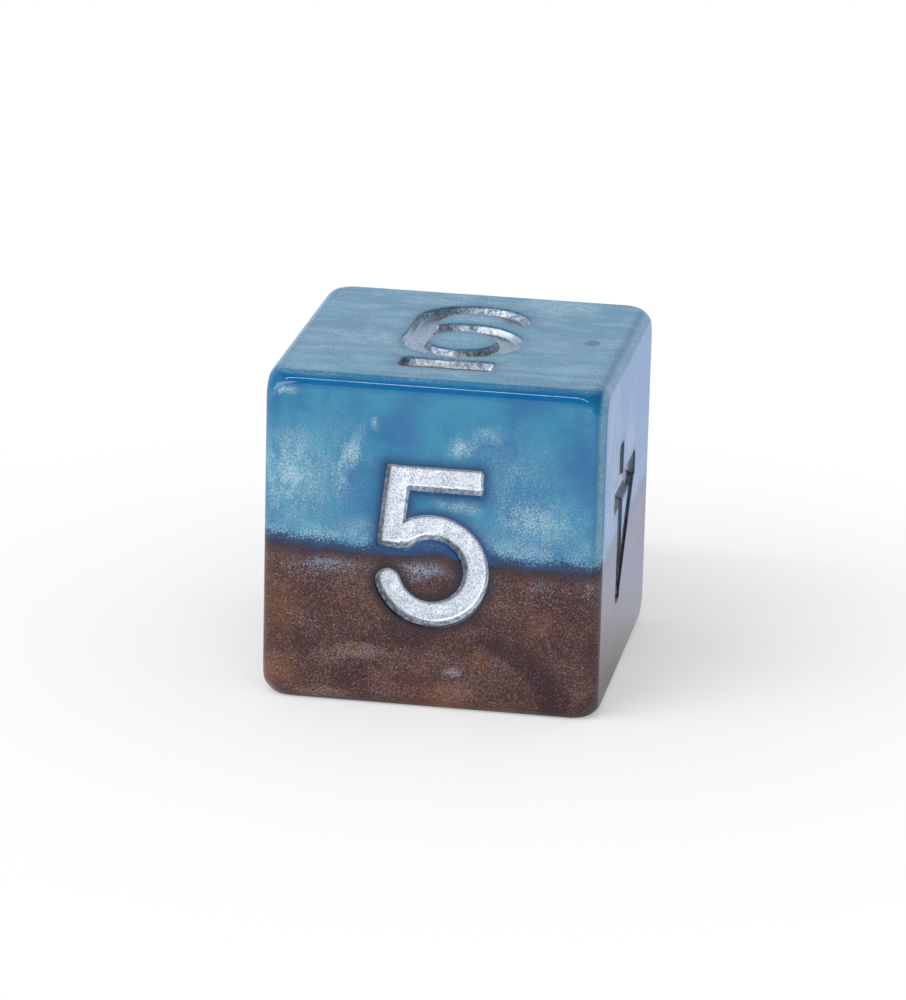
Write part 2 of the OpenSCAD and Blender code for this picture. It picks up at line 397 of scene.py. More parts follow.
LINES = lattice_lines()
SHADE = "groove_shade"                             # the mesh attribute that the materials read
NUMERAL_WINDOW = ((-6.0, -7.0), (6.0, 6.0))        # the part of a face that holds its contours
# The halo round each groove is painted shade: the resin is darkened there.
SHADE_HALO_REACH = [0.1, 0.25, 0.45, 0.75]               # distances from a groove's outline
SHADE_HALO_DEPTH = [1, 0.62, 0.28, 0]                    # how strong its halo is at each of them
SHADE_HALO_LOOPS = SHADE_HALO_REACH[:0:-1]                     # loops of the mesh that carry the halo
DECIMALS = 6                                       # of a millimetre, to which points are matched


class Face:
    """One face: its numeral, and how its own axes lie in the die's."""

    def __init__(self, name, right, up, numerals, has_pour_line):
        self.name = name
        self.right = np.array(right, float)
        self.up = np.array(up, float)
        self.out = np.cross(self.right, self.up)
        self.numerals = numerals
        self.has_pour_line = has_pour_line

    def distance(self, p):
        return np.minimum.reduce([n(p) for n in self.numerals.values()])

    def onto_die(self, uv):
        """Places and normals on the body for points of the flat face, in die axes."""
        flat = uv[:, :1] * self.right + uv[:, 1:] * self.up + half * self.out
        p = onto_body(flat)
        return p + [0, 0, half], body_normal(p)

    def pour_line(self, u):
        """Height on the face of the boundary between the pours."""
        at, _ = self.onto_die(np.stack([u, np.zeros_like(u)], axis=1))
        return (pour_z(at[:, 0], at[:, 1]) - half) * self.up[2]


FACES = [
    Face("front", (1, 0, 0), (0, 0, 1), {"numeral_5": five}, True),
    Face("right", (0, -1, 0), (0, 0, -1), {"numeral_4": four}, True),
    Face("back", (-1, 0, 0), (0, 0, 1), {"numeral_2": two}, True),
    Face("left", (0, -1, 0), (0, 0, 1), {"numeral_3": three}, True),
    Face("top", (1, 0, 0), (0, 1, 0), {"numeral_6": six, "six_underline": underline}, False),
    Face("bottom", (1, 0, 0), (0, -1, 0), {"numeral_1": one}, False),
]


def triangulate(face):
    """Triangles over the flat face that keep every contour and the pour line."""
    points, edges = [], []

    def add_line(line, closed):
        first = len(points)
        points.extend(line)
        last = len(points) - 1
        edges.extend((k, k + 1) for k in range(first, last))
        if closed:
            edges.append((last, first))

    lattice = np.stack(np.meshgrid(LINES, LINES), axis=-1).reshape(-1, 2)
    clearance = 0.15
    clear = face.distance(lattice) > SHADE_HALO_LOOPS[0] + clearance
    points.extend(lattice[clear])
    levels = [*SHADE_HALO_LOOPS, *resin_profile[:, 0], *paint_profile[:, 0]]
    for level in levels:
        for loop in contours(face.distance, level, NUMERAL_WINDOW):
            add_line(loop, True)
    if face.has_pour_line:
        add_line(pour_points(face), False)
    merge_within, least_area = 1e-5, 1e-10
    result = delaunay_2d_cdt([Vector(p) for p in points], edges, [], 0, merge_within, True)
    uv = np.array([v[:] for v in result[0]], float)
    for k, sources in enumerate(result[3]):
        if sources:
            uv[k] = points[sources[0]]
    triangles = np.array(result[2])
    area = face_up(uv, triangles)
    return uv, triangles[np.abs(area) > least_area]


def pour_points(face):
    """Points along the pours' boundary on a face, close together between the rounded edges."""
    reach, step = 7.3, 0.1
    inner = np.arange(-reach, reach + step / 10, step)
    u = np.concatenate([LINES[LINES < inner[0]], inner, LINES[LINES > inner[-1]]])
    return np.stack([u, face.pour_line(u)], axis=1)


def face_up(points, triangles):
    """Turns the triangles to face up in x and y. Gives twice the area that each had."""
    a, b, c = (points[triangles[:, k]] for k in range(3))
    area = (b - a)[:, 0] * (c - a)[:, 1] - (b - a)[:, 1] * (c - a)[:, 0]
    triangles[area < 0] = triangles[area < 0][:, ::-1]
    return area


class Solid:
    """Triangles gathered for one piece, with a normal and a shade mark at each corner.

    The mark is 1 at a groove's rim in resin, where it lays painted shade, and on the groove's walls
    in paint, where it darkens them.
    """

    def __init__(self):
        self.places, self.normals, self.marks = [], [], []

    def add(self, triangles, place, normal, mark):
        self.places.append(place[triangles])
        self.normals.append(normal[triangles])
        self.marks.append(mark[triangles])

    def add_turned(self, triangles, place, normal, mark):
        """The same triangles facing the other way."""
        self.add(triangles[:, ::-1], place, -normal, mark)

    def build(self, name):
        places = np.round(np.concatenate(self.places).reshape(-1, 3), DECIMALS)
        normals = np.concatenate(self.normals)
        marks = np.concatenate(self.marks).reshape(-1)
        verts, first, corner = np.unique(places, axis=0, return_index=True, return_inverse=True)
        triangles = corner.reshape(-1, 3)
        whole = ((triangles[:, 0] != triangles[:, 1]) & (triangles[:, 1] != triangles[:, 2])
                 & (triangles[:, 2] != triangles[:, 0]))
        mesh = bpy.data.meshes.new(name)
        mesh.from_pydata((verts * MM).tolist(), [], triangles[whole].tolist())
        mesh.polygons.foreach_set("use_smooth", [True] * len(mesh.polygons))
        shade = mesh.attributes.new(SHADE, "FLOAT", "POINT")
        shade.data.foreach_set("value", marks[first].astype(np.float32))
        mesh.normals_split_custom_set(normals[whole].reshape(-1, 3).tolist())
        return in_scene(name, mesh)


def in_scene(name, data):
    """A new object in the scene that holds the data."""
    obj = bpy.data.objects.new(name, data)
    bpy.context.scene.collection.objects.link(obj)
    return obj


class Sheet:
    """The triangles over one face, with their points' places on the body."""

    def __init__(self, face):
        self.face = face
        self.uv, self.triangles = triangulate(face)
        self.place, self.normal = face.onto_die(self.uv)
        self.d = face.distance(self.uv)
        self.slope = distance_slope(face.distance, self.uv)
        self.centre = self.uv[self.triangles].mean(axis=1)

    def sunk(self, profile):
        """Places and normals after the face is sunk to a groove's profile."""
        height = along_profile(profile, self.d, HEIGHT)
        tilt = along_profile(profile, self.d, TILT)
        leaning = self.slope[:, :1] * self.face.right + self.slope[:, 1:] * self.face.up
        turned = self.normal * np.cos(tilt)[:, None] - leaning * np.sin(tilt)[:, None]
        return self.place + height[:, None] * self.face.out, turned

    def above_pour(self):
        """Which triangles belong to the upper pour."""
        if not self.face.has_pour_line:
            return np.full(len(self.triangles), self.face.name == "top")
        over = self.centre[:, 1] - self.face.pour_line(self.centre[:, 0])
        return over * self.face.up[2] > 0

    def painted(self):
        """Which triangles the paint covers, and the points where it ends."""
        on_edge = self.d > paint_edge - 1e-4
        inside = self.face.distance(self.centre) < paint_edge
        painted = inside & ~on_edge[self.triangles].all(axis=1)
        painted &= ~np.isin(self.triangles, self.seam(painted)).all(axis=1)
        return painted, self.seam(painted)

    def seam(self, painted):
        """The points that painted and bare triangles share."""
        return np.intersect1d(self.triangles[painted], self.triangles[~painted])


class Rim:
    """The loop round the die where the two pours meet, gathered from the faces."""

    def __init__(self):
        self.ids, self.places, self.edges = {}, [], set()

    def point(self, place):
        """The number of a point of the rim, which two faces may give."""
        key = tuple(np.round(place, DECIMALS))
        if key not in self.ids:
            self.ids[key] = len(self.places)
            self.places.append(key)
        return self.ids[key]

    def add(self, place, edges):
        """Adds the edges between points of one face."""
        for a, b in edges:
            self.edges.add((self.point(place[a]), self.point(place[b])))


def pour_cap(rim):
    """Triangles across the die between the pours, inside their rim."""
    rim_places = np.array(rim.places)
    cells = np.arange(-6.5, 7.0)
    inner = [(x, y) for x in cells for y in cells]
    flat = [Vector(p[:2]) for p in rim_places] + [Vector(p) for p in inner]
    loop = in_order(rim.edges)
    x, y = rim_places[loop, 0], rim_places[loop, 1]
    if np.sum(x * np.roll(y, -1) - y * np.roll(x, -1)) < 0:
        loop.reverse()
    result = delaunay_2d_cdt(flat, [], [loop], 0, 1e-6, True)
    place = np.empty((len(result[0]), 3))
    for k, sources in enumerate(result[3]):
        if sources and sources[0] < len(rim_places):
            place[k] = rim_places[sources[0]]
        else:
            x, y = result[0][k]
            place[k] = (x, y, pour_z(x, y))
    triangles = np.array([t for t, rims in zip(result[2], result[5]) if rims])
    face_up(place, triangles)
    return place, triangles


def in_order(edges):
    """The points of one closed loop of edges, one after the other."""
    links = {}
    for a, b in edges:
        links.setdefault(a, []).append(b)
        links.setdefault(b, []).append(a)
    start = min(links)
    loop, before, here = [start], start, links[start][0]
    while here != start:
        loop.append(here)
        before, here = here, next(k for k in links[here] if k != before)
    return loop


def add_paint(solids, sheet, place, normal):
    """A coat in each numeral's groove, between its own top and the groove's surface."""
    painted, seam = sheet.painted()
    top_place, top_normal = sheet.sunk(paint_profile)
    top_place[seam] = place[seam]
    steepness = along_profile(paint_profile, sheet.d, TILT) / (math.pi / 2 - wall_lean)
    numerals = sheet.face.numerals
    nearest = np.argmin([n(sheet.centre) for n in numerals.values()], axis=0)
    for k, name in enumerate(numerals):
        own = sheet.triangles[painted & (nearest == k)]
        layer = Solid()
        layer.add(own, top_place, top_normal, steepness)
        layer.add_turned(own, place, normal, steepness)
        solids[name + "_silver"] = layer


def make_solids():
    """Every piece of the die as a closed mesh."""
    blue, copper = Solid(), Solid()
    solids = {"blue_resin": blue, "copper_resin": copper}
    rim = Rim()
    for face in FACES:
        sheet = Sheet(face)
        place, normal = sheet.sunk(resin_profile)
        shade_halo = np.interp(sheet.d, SHADE_HALO_REACH, SHADE_HALO_DEPTH)
        above = sheet.above_pour()
        upper, lower = sheet.triangles[above], sheet.triangles[~above]
        blue.add(upper, place, normal, shade_halo)
        copper.add(lower, place, normal, shade_halo)
        add_paint(solids, sheet, place, normal)
        if face.has_pour_line:
            rim.add(place, shared_edges(upper, lower))
    cap_place, cap = pour_cap(rim)
    up = np.tile([0.0, 0.0, 1.0], (len(cap_place), 1))
    no_shade_halo = np.zeros(len(cap_place))
    copper.add(cap, cap_place, up, no_shade_halo)
    blue.add_turned(cap, cap_place, up, no_shade_halo)
    return solids


def shared_edges(upper, lower):
    """Edges that both sets of triangles have."""
    def edges(triangles):
        return {tuple(sorted((int(t[k]), int(t[(k + 1) % 3])))) for t in triangles for k in range(3)}
    return edges(upper) & edges(lower)


# ---- Materials ---------------------------------------------------------------
# Every colour is linear. Positions reach the nodes in millimetres from the die's middle.


class Shader:
    """Short names for the nodes that the materials are built from."""

    def __init__(self, owner):
        owner.use_nodes = True
        self.owner = owner
        self.tree = owner.node_tree
        self.tree.nodes.clear()

    def node(self, kind, inputs=(), **settings):
        """A node with its settings made, and its inputs linked or filled in order or by name."""
        node = self.tree.nodes.new(kind)
        for key, value in settings.items():
            setattr(node, key, value)
        pairs = inputs.items() if isinstance(inputs, dict) else enumerate(inputs)
        for key, value in pairs:
            if isinstance(value, bpy.types.NodeSocket):
                self.tree.links.new(value, node.inputs[key])
            elif value is not None:
                node.inputs[key].default_value = value
        return node

    def math(self, operation, *values):
        return self.node("ShaderNodeMath", values, operation=operation).outputs[0]

    def vector(self, operation, *values):
        return self.node("ShaderNodeVectorMath", values, operation=operation).outputs[0]

    def place(self):
        """Position on the die in millimetres from its middle."""
        coordinates = self.node("ShaderNodeTexCoord").outputs["Object"]
        scaled = self.node("ShaderNodeVectorMath", operation="SCALE",
                           inputs={"Vector": coordinates, "Scale": 1 / MM}).outputs[0]
        return self.vector("SUBTRACT", scaled, (0, 0, half))

    def noise(self, place, grain, detail=4.0, roughness=0.55, distortion=0.0):
        """Noise whose features are about grain millimetres across."""
        inputs = {"Vector": place, "Scale": 1 / grain, "Detail": detail,
                  "Roughness": roughness, "Distortion": distortion}
        return self.node("ShaderNodeTexNoise", inputs, noise_dimensions="3D")

    def warped(self, place, grain, reach):
        """The place pushed about by up to reach millimetres."""
        push = self.vector("SUBTRACT", self.noise(place, grain, 3).outputs["Color"], (0.5,) * 3)
        push = self.node("ShaderNodeVectorMath", {"Vector": push, "Scale": 2 * reach},
                         operation="SCALE").outputs[0]
        return self.vector("ADD", place, push)

    def between(self, value, low, high, to_low=0.0, to_high=1.0):
        """Runs smoothly from to_low to to_high as value goes from low to high."""
        inputs = {"Value": value, "From Min": low, "From Max": high,
                  "To Min": to_low, "To Max": to_high}
        return self.node("ShaderNodeMapRange", inputs, interpolation_type="SMOOTHSTEP",
                         clamp=True).outputs[0]

    def blob(self, place, middle, reach, turn=0.0, core=0.0):
        """1 in the middle of an ellipsoid to 0 at its edge. turn is about the Y axis, in degrees."""
        inputs = {"Vector": place, "Location": middle,
                  "Rotation": (0, math.radians(turn), 0), "Scale": reach}
        local = self.node("ShaderNodeMapping", inputs, vector_type="TEXTURE").outputs[0]
        length = self.node("ShaderNodeVectorMath", [local], operation="LENGTH").outputs["Value"]
        return self.between(length, core, 1.0, 1.0, 0.0)

    def mix(self, share, a, b):
        """Colour a turning into colour b."""
        node = self.node("ShaderNodeMix", data_type="RGBA", clamp_factor=True)
        for socket, value in zip((node.inputs[0], node.inputs[6], node.inputs[7]), (share, a, b)):
            if isinstance(value, bpy.types.NodeSocket):
                self.tree.links.new(value, socket)
            elif isinstance(value, tuple):
                socket.default_value = (*value, 1.0)
            else:
                socket.default_value = value
        return node.outputs[2]

    def lay(self, colour, upper, share, strength):
        """The colour with an upper one laid over it, at a share times a strength."""
        return self.mix(self.math("MULTIPLY", share, strength), colour, upper)

    def largest(self, *values):
        total = values[0]
        for value in values[1:]:
            total = self.math("MAXIMUM", total, value)
        return total

    def surface(self, **inputs):
        """The finished Principled surface. A colour or number stays on the shader's own socket."""
        shader = self.node("ShaderNodeBsdfPrincipled")
        for name, value in inputs.items():
            socket = shader.inputs[name.replace("_", " ")]
            if isinstance(value, bpy.types.NodeSocket):
                self.tree.links.new(value, socket)
            else:
                socket.default_value = value
        self.node("ShaderNodeOutputMaterial", {"Surface": shader.outputs[0]})
        return self.owner


def height_over_pour(s, place):
    """Height above the boundary between the pours."""
    x, y, z = s.node("ShaderNodeSeparateXYZ", [place]).outputs
    turn = 2 * math.pi / pour_wave_len
    fall = s.math("MULTIPLY", x, -pour_fall / die_size)
    first = s.math("SINE", s.math("MULTIPLY_ADD", x, turn, pour_phase))
    across = s.math("SUBTRACT", y, s.math("MULTIPLY", x, 0.5))
    second = s.math("SINE", s.math("MULTIPLY", across, turn))
    line = s.math("ADD", fall, s.math("MULTIPLY", first, pour_wave))
    line = s.math("MULTIPLY_ADD", second, pour_wave / 2, line)
    return s.math("SUBTRACT", s.math("SUBTRACT", z, pour_h - half), line)


def ragged_height(s, place, speck):
    """Height above the boundary as the eye sees it, where grains of both pours have mixed."""
    wave, wander, stray = 1.2, 0.4, 1.1
    over = height_over_pour(s, s.warped(place, wave, wander))
    return s.math("ADD", over, s.math("MULTIPLY", s.math("SUBTRACT", speck, 0.5), stray))


def meeting(s, over, blue, copper):
    """Both pours' colours near their boundary, with the navy band where they meet."""
    colour = s.mix(s.between(over, -0.6, -0.05, 0.0, 0.7), copper, DUSK)
    colour = s.mix(s.between(over, -0.1, 0.2), colour, NAVY)
    colour = s.mix(s.between(over, 0.1, 0.35), colour, BAND_BLUE)
    return s.mix(s.between(over, 0.35, 0.75), colour, blue)


def edge_closeness(s, place):
    """0 on the flat faces to 1 along the rounded edges, most of all just under the top: clear resin
    at the edges, deepened with painted shade.

    It fades again on the top, painted lighter on the edges' upper side, and towards the left and
    right faces.
    """
    x, y, z = s.node("ShaderNodeSeparateXYZ", [s.vector("ABSOLUTE", place)]).outputs
    second = s.math("MAXIMUM", s.math("MINIMUM", x, y),
                    s.math("MINIMUM", s.math("MAXIMUM", x, y), z))
    pale_top = s.between(z, 7.75, 7.95, 0.0, 0.55)
    pale_sides = s.between(x, 7.55, 7.85, 0.0, 0.9)
    near = s.math("MULTIPLY", s.between(second, 7.15, 7.6), s.between(z, 6.4, 7.5, 0.25, 1.0))
    return s.math("MULTIPLY", near, s.math("SUBTRACT", 1.0, s.math("MAXIMUM", pale_top, pale_sides)))


def painted_rim_reflection(s, place):
    """0 to 1 along the rounded edges round the right face, where a painted reflection makes them
    paler than the rest.
    """
    x = s.node("ShaderNodeSeparateXYZ", [place]).outputs[0]
    return s.math("MULTIPLY", s.between(x, 7.6, 7.85), s.between(x, 7.9, 8.0, 1.0, 0.0))


def off_front(s, place):
    """0 on the front face to 1 a little behind it, where no clouds are listed."""
    return s.between(s.node("ShaderNodeSeparateXYZ", [place]).outputs[1], -7.9, -6.0)


def on_face(s, place, axis, start=7.7):
    """0 to 1 from the rounded edge to the flat of the face that looks along the axis."""
    return s.between(s.node("ShaderNodeSeparateXYZ", [place]).outputs[axis], start, 7.97)


def mark(s):
    """The painted shade round a groove in resin, and how steep the groove is in paint."""
    return s.node("ShaderNodeAttribute", attribute_name=SHADE).outputs["Fac"]


# Blue resin: its depths, edges deepened with painted shade, a painted reflection tint on the right
# face, painted shade round the grooves, the dark fleck, the mica.
BLUE_DEEP = (0.013, 0.126, 0.275)
BLUE_OPEN = (0.029, 0.205, 0.335)
BLUE_BAND = (0.024, 0.108, 0.280)
BLUE_EDGE_AND_SHADE = (0.002, 0.090, 0.260)
BLUE_SIDE_REFLECTION = (0.015, 0.260, 0.740)
BLUE_HALO_SHADE = (0.003, 0.045, 0.140)
FLECK_BLUE = (0.000, 0.100, 0.190)
MICA = (0.310, 0.450, 0.520)

# Where the pours meet, from the blue side down.
BAND_BLUE = (0.014, 0.044, 0.118)
NAVY = (0.014, 0.025, 0.062)
DUSK = (0.022, 0.010, 0.018)

# Copper resin and the painted shade round its grooves, then the dust in it and its painted
# reflection tint on the right face.
COPPER_DEEP = (0.022, 0.002, 0.003)
COPPER_OPEN = (0.052, 0.013, 0.009)
COPPER_GLOW = (0.190, 0.070, 0.026)
COPPER_SWEEP = (0.022, 0.001, 0.004)
COPPER_HALO_SHADE = (0.008, 0.005, 0.012)
DUST_TAN = (0.225, 0.128, 0.095)
DUST_LILAC = (0.190, 0.135, 0.158)
DUST_BLUE = (0.230, 0.290, 0.380)
VIOLET_REFLECTION = (0.100, 0.070, 0.200)

# Silver paint: its grain, its walls darkened as thin paint with painted shade, and painted
# highlights.
SILVER_DARK = (0.19, 0.27, 0.42)
SILVER_PALE = (0.90, 0.93, 0.97)
SILVER_THIN_AND_SHADE = (0.15, 0.16, 0.19)
SILVER_HIGHLIGHT = (0.95, 0.96, 1.00)

RESIN_GLOSS = {"Roughness": 0.5, "Specular_IOR_Level": 0.0, "Coat_Weight": 0.85,
               "Coat_Roughness": 0.03, "Coat_IOR": 1.5}

# Clouds seen through the front face: across, up, half width, half height, turn in degrees,
# strength. First the pale mica of the upper pour. Then, in the lower pour, copper glows,
# dust, mica that sank from the upper pour, a paler spot, and shadows.
MICA_CLOUDS = [
    (-6.7, 3.0, 2.2, 4.0, 8, 1.0),
    (-5.6, 3.0, 3.6, 4.6, 14, 0.5),
    (-4.0, 3.9, 0.8, 2.9, 22, 0.95),
    (-2.6, 5.8, 0.4, 0.5, 0, 0.8),
    (1.3, 5.1, 1.4, 0.9, -30, 1.0),
    (2.6, 5.7, 1.3, 0.7, -10, 0.65),
    (3.6, 3.6, 4.0, 3.4, 0, 0.35),
    (1.0, 2.2, 2.2, 0.6, 12, 0.85),
    (4.9, 1.6, 3.6, 2.2, 0, 0.8),
    (-7.0, 7.1, 0.9, 0.3, -10, 0.9),
]
GLOWS = [
    (-7.3, -3.4, 1.8, 2.2, 0, 0.8),
    (-7.2, -6.6, 1.6, 1.4, 0, 1.0),
    (0.7, -7.4, 2.2, 1.2, 0, 0.9),
    (5.3, -3.5, 1.5, 0.9, -25, 0.55),
    (2.3, -5.3, 1.1, 0.7, 0, 0.6),
]
DUSTS = [
    (-3.2, -5.4, 4.6, 0.8, -12, 0.9),
    (-6.0, -3.9, 2.6, 1.0, 30, 0.5),
    (1.2, -5.9, 0.8, 0.7, 0, 1.0),
    (-5.2, -7.5, 3.2, 0.7, 0, 0.85),
    (1.6, -7.0, 2.8, 1.8, 0, 0.6),
]
FALLEN = [
    (-0.4, -1.2, 2.2, 1.1, 0, 0.9),
    (2.7, -1.4, 1.0, 1.2, 20, 0.7),
    (-4.8, -1.2, 2.2, 0.9, -10, 0.7),
]
PALE_SPOTS = [
    (1.15, -5.95, 0.75, 0.65, 0, 0.5),
]
SHADOWS = [
    (-1.0, -4.6, 3.8, 0.9, -6, 0.8),
    (0.0, -3.2, 2.6, 1.3, 0, 0.8),
]

# Single ellipsoids: middle, reach. The fleck lies on top, sweep and lobe at the front right.
BLUE_BANDS = [
    ((-1.3, -half, 5.8), (1.0, 3.0, 2.4)),
    ((6.9, -half, 4.5), (0.9, 3.0, 3.6)),
]
FLECK = ((6.1, 0.35, half), (0.45, 0.65, 0.5))
SWEEP = ((3.3, -half, -7.7), (4.3, 2.5, 4.5))
LOBE = ((1.9, -half, -8.3), (3.8, 2.5, 3.8))
# Painted highlights on the 6's paint, laid as brighter paint: middle, reach.
PAINTED_HIGHLIGHTS = [
    ((-2.8, 0.2, half), (1.1, 2.0, 1.0)),
    ((2.6, 2.0, half), (2.4, 2.6, 1.0)),
]


def clouds(s, place, shapes):
    """The strongest of several soft clouds at each point near the front face."""
    depth = 2.5
    parts = []
    for across, up, half_width, half_height, turn, strength in shapes:
        cloud = s.blob(place, (across, -half, up), (half_width, depth, half_height), turn)
        parts.append(s.math("MULTIPLY", cloud, strength))
    return s.largest(*parts)


def flakes(s, density, speck, sharp=0.4):
    """How much of the mica shows: a soft cloud, with single flakes in and around it."""
    single = s.between(s.math("MULTIPLY_ADD", density, 0.4, speck), 0.64 - 0.1 * sharp, 1.0)
    soft = s.math("MULTIPLY", density, s.between(speck, 0.3, 0.7, 0.2, 0.75))
    soft = s.math("MULTIPLY", soft, 1.4 - sharp)
    return s.math("MULTIPLY_ADD", single, sharp, soft)


def blue_resin():
    """Teal resin with pale mica clouds, deeper at the edges and where the pours meet."""
    s = Shader(bpy.data.materials.new("blue_resin"))
    place = s.place()
    loose = s.warped(place, 1.8, 0.55)
    speck = s.noise(place, 0.09, 1, 0.8).outputs[0]
    over = ragged_height(s, place, speck)
    colour = blue_depth(s, place, loose)
    # Painted reflection: a bluer tint on the right face.
    colour = s.lay(colour, BLUE_SIDE_REFLECTION, on_face(s, place, 0, 7.85), 0.38)
    colour = s.lay(colour, MICA, mica_share(s, place, loose, speck, over), 0.95)
    fleck = s.blob(s.warped(place, 0.5, 0.15), *FLECK, core=0.5)
    colour = s.lay(colour, FLECK_BLUE, fleck, 0.95)
    # Deeper blue along the rounded edges: clear resin there, with painted shade.
    colour = s.lay(colour, BLUE_EDGE_AND_SHADE, edge_closeness(s, place), 0.8)
    # Painted reflection: paler mica colour on the rounded edges round the right face.
    colour = s.lay(colour, MICA, painted_rim_reflection(s, place), s.between(speck, 0.3, 0.7, 0.2, 0.7))
    colour = meeting(s, over, colour, COPPER_OPEN)
    weaker_on_top = s.between(on_face(s, place, 2), 0.0, 1.0, 0.95, 0.5)
    # Painted shade round each groove, weaker on the top.
    colour = s.lay(colour, BLUE_HALO_SHADE, mark(s), weaker_on_top)
    return s.surface(Base_Color=colour, **RESIN_GLOSS)


def blue_depth(s, place, loose):
    """The clear resin between the clouds."""
    soft = s.noise(loose, 2.4, 5, 0.6).outputs[0]
    colour = s.mix(s.between(soft, 0.32, 0.68), BLUE_DEEP, BLUE_OPEN)
    for middle, reach in BLUE_BANDS:
        colour = s.lay(colour, BLUE_BAND, s.blob(loose, middle, reach), 0.6)
    return colour


def mica_share(s, place, loose, speck, over):
    """The clouds and streaks of pale mica, and the haze that settled above the boundary."""
    upright = s.node("ShaderNodeMapping", {"Vector": loose, "Scale": (1.7, 1.7, 0.6),
                                           "Rotation": (0, math.radians(-22), 0)}).outputs[0]
    wisps = s.noise(upright, 0.9, 6, 0.66).outputs[0]
    elsewhere = s.between(s.noise(loose, 5.0, 3).outputs[0], 0.40, 0.66, 0.0, 0.9)
    mica = s.largest(clouds(s, loose, MICA_CLOUDS),
                     s.math("MULTIPLY", elsewhere, off_front(s, place)))
    mica = s.math("MULTIPLY", mica, s.between(wisps, 0.32, 0.58, 0.30, 1.0))
    flat = s.node("ShaderNodeMapping", {"Vector": loose, "Scale": (0.45, 1.6, 1.0)}).outputs[0]
    streaks = s.between(s.noise(flat, 1.5, 5, 0.6).outputs[0], 0.34, 0.74, 0.26, 0.80)
    mica = s.math("MAXIMUM", mica, s.math("MULTIPLY", on_face(s, place, 2), streaks))
    haze = s.between(s.noise(loose, 1.3, 4, 0.6).outputs[0], 0.34, 0.66, 0.20, 0.62)
    haze = s.math("MULTIPLY", haze, s.between(over, 0.2, 0.7))
    haze = s.math("MULTIPLY", haze, s.between(over, 0.9, 2.6, 1.0, 0.0))
    return flakes(s, s.math("MAXIMUM", mica, haze), speck)


def copper_resin():
    """Dark brown resin with copper mica folded into it."""
    s = Shader(bpy.data.materials.new("copper_resin"))
    place = s.place()
    loose = s.warped(place, 2.0, 0.6)
    speck = s.noise(place, 0.07, 1, 0.8).outputs[0]
    over = ragged_height(s, place, speck)
    colour, dark = copper_depth(s, place, loose)
    dust = s.largest(clouds(s, loose, DUSTS), s.between(folds(s, place), 0.35, 0.7, 0.15, 0.5))
    dust = s.math("MULTIPLY", dust, s.between(dark, 0.0, 1.0, 1.0, 0.2))
    tint = s.mix(s.between(s.noise(place, 0.3, 2).outputs[0], 0.42, 0.68), DUST_TAN, DUST_LILAC)
    colour = s.lay(colour, tint, flakes(s, dust, speck, 0.8), 0.75)
    colour = s.lay(colour, DUST_BLUE, flakes(s, fallen_mica(s, loose, over), speck, 0.8), 0.8)
    # Painted reflection: a violet tint on the right face.
    colour = s.lay(colour, VIOLET_REFLECTION, on_face(s, place, 0, 7.85), 0.2)
    colour = s.mix(s.between(speck, 0.30, 0.48, 0.8, 0.0), colour, COPPER_SWEEP)
    colour = meeting(s, over, BLUE_DEEP, colour)
    # Painted shade round each groove.
    colour = s.lay(colour, COPPER_HALO_SHADE, mark(s), 0.9)
    return s.surface(Base_Color=colour, **RESIN_GLOSS)


def fallen_mica(s, loose, over):
    """Pale mica that sank from the upper pour into the top of this one, and a spot below it."""
    fallen = s.between(s.noise(loose, 1.7, 3).outputs[0], 0.45, 0.65, 0.05, 0.4)
    fallen = s.largest(fallen, clouds(s, loose, FALLEN))
    fallen = s.math("MULTIPLY", fallen, s.between(over, -1.8, -0.4))
    return s.largest(fallen, clouds(s, loose, PALE_SPOTS))


def folds(s, place):
    """Soft folds from stirring the pour."""
    return s.noise(s.warped(place, 3.0, 1.4), 2.4, 5, 0.6, 0.6).outputs[0]


def copper_depth(s, place, loose):
    """The brown under the dust and how dark it is, with a sweep round a lobe at the front right."""
    colour = s.mix(s.between(folds(s, place), 0.30, 0.66), COPPER_DEEP, COPPER_OPEN)
    near = s.warped(place, 1.5, 0.2)
    lobe = s.blob(near, *LOBE, core=0.86)
    sweep = s.math("MULTIPLY", s.blob(near, *SWEEP, core=0.6), s.math("SUBTRACT", 1.0, lobe))
    dark = s.largest(sweep, clouds(s, loose, SHADOWS))
    colour = s.lay(colour, COPPER_SWEEP, dark, 0.85)
    colour = s.lay(colour, COPPER_OPEN, lobe, 0.6)
    elsewhere = s.between(s.noise(loose, 4.0, 3).outputs[0], 0.45, 0.66, 0.0, 0.7)
    glow = s.largest(clouds(s, loose, GLOWS), s.math("MULTIPLY", elsewhere, off_front(s, place)))
    return s.lay(colour, COPPER_GLOW, glow, 0.6), dark


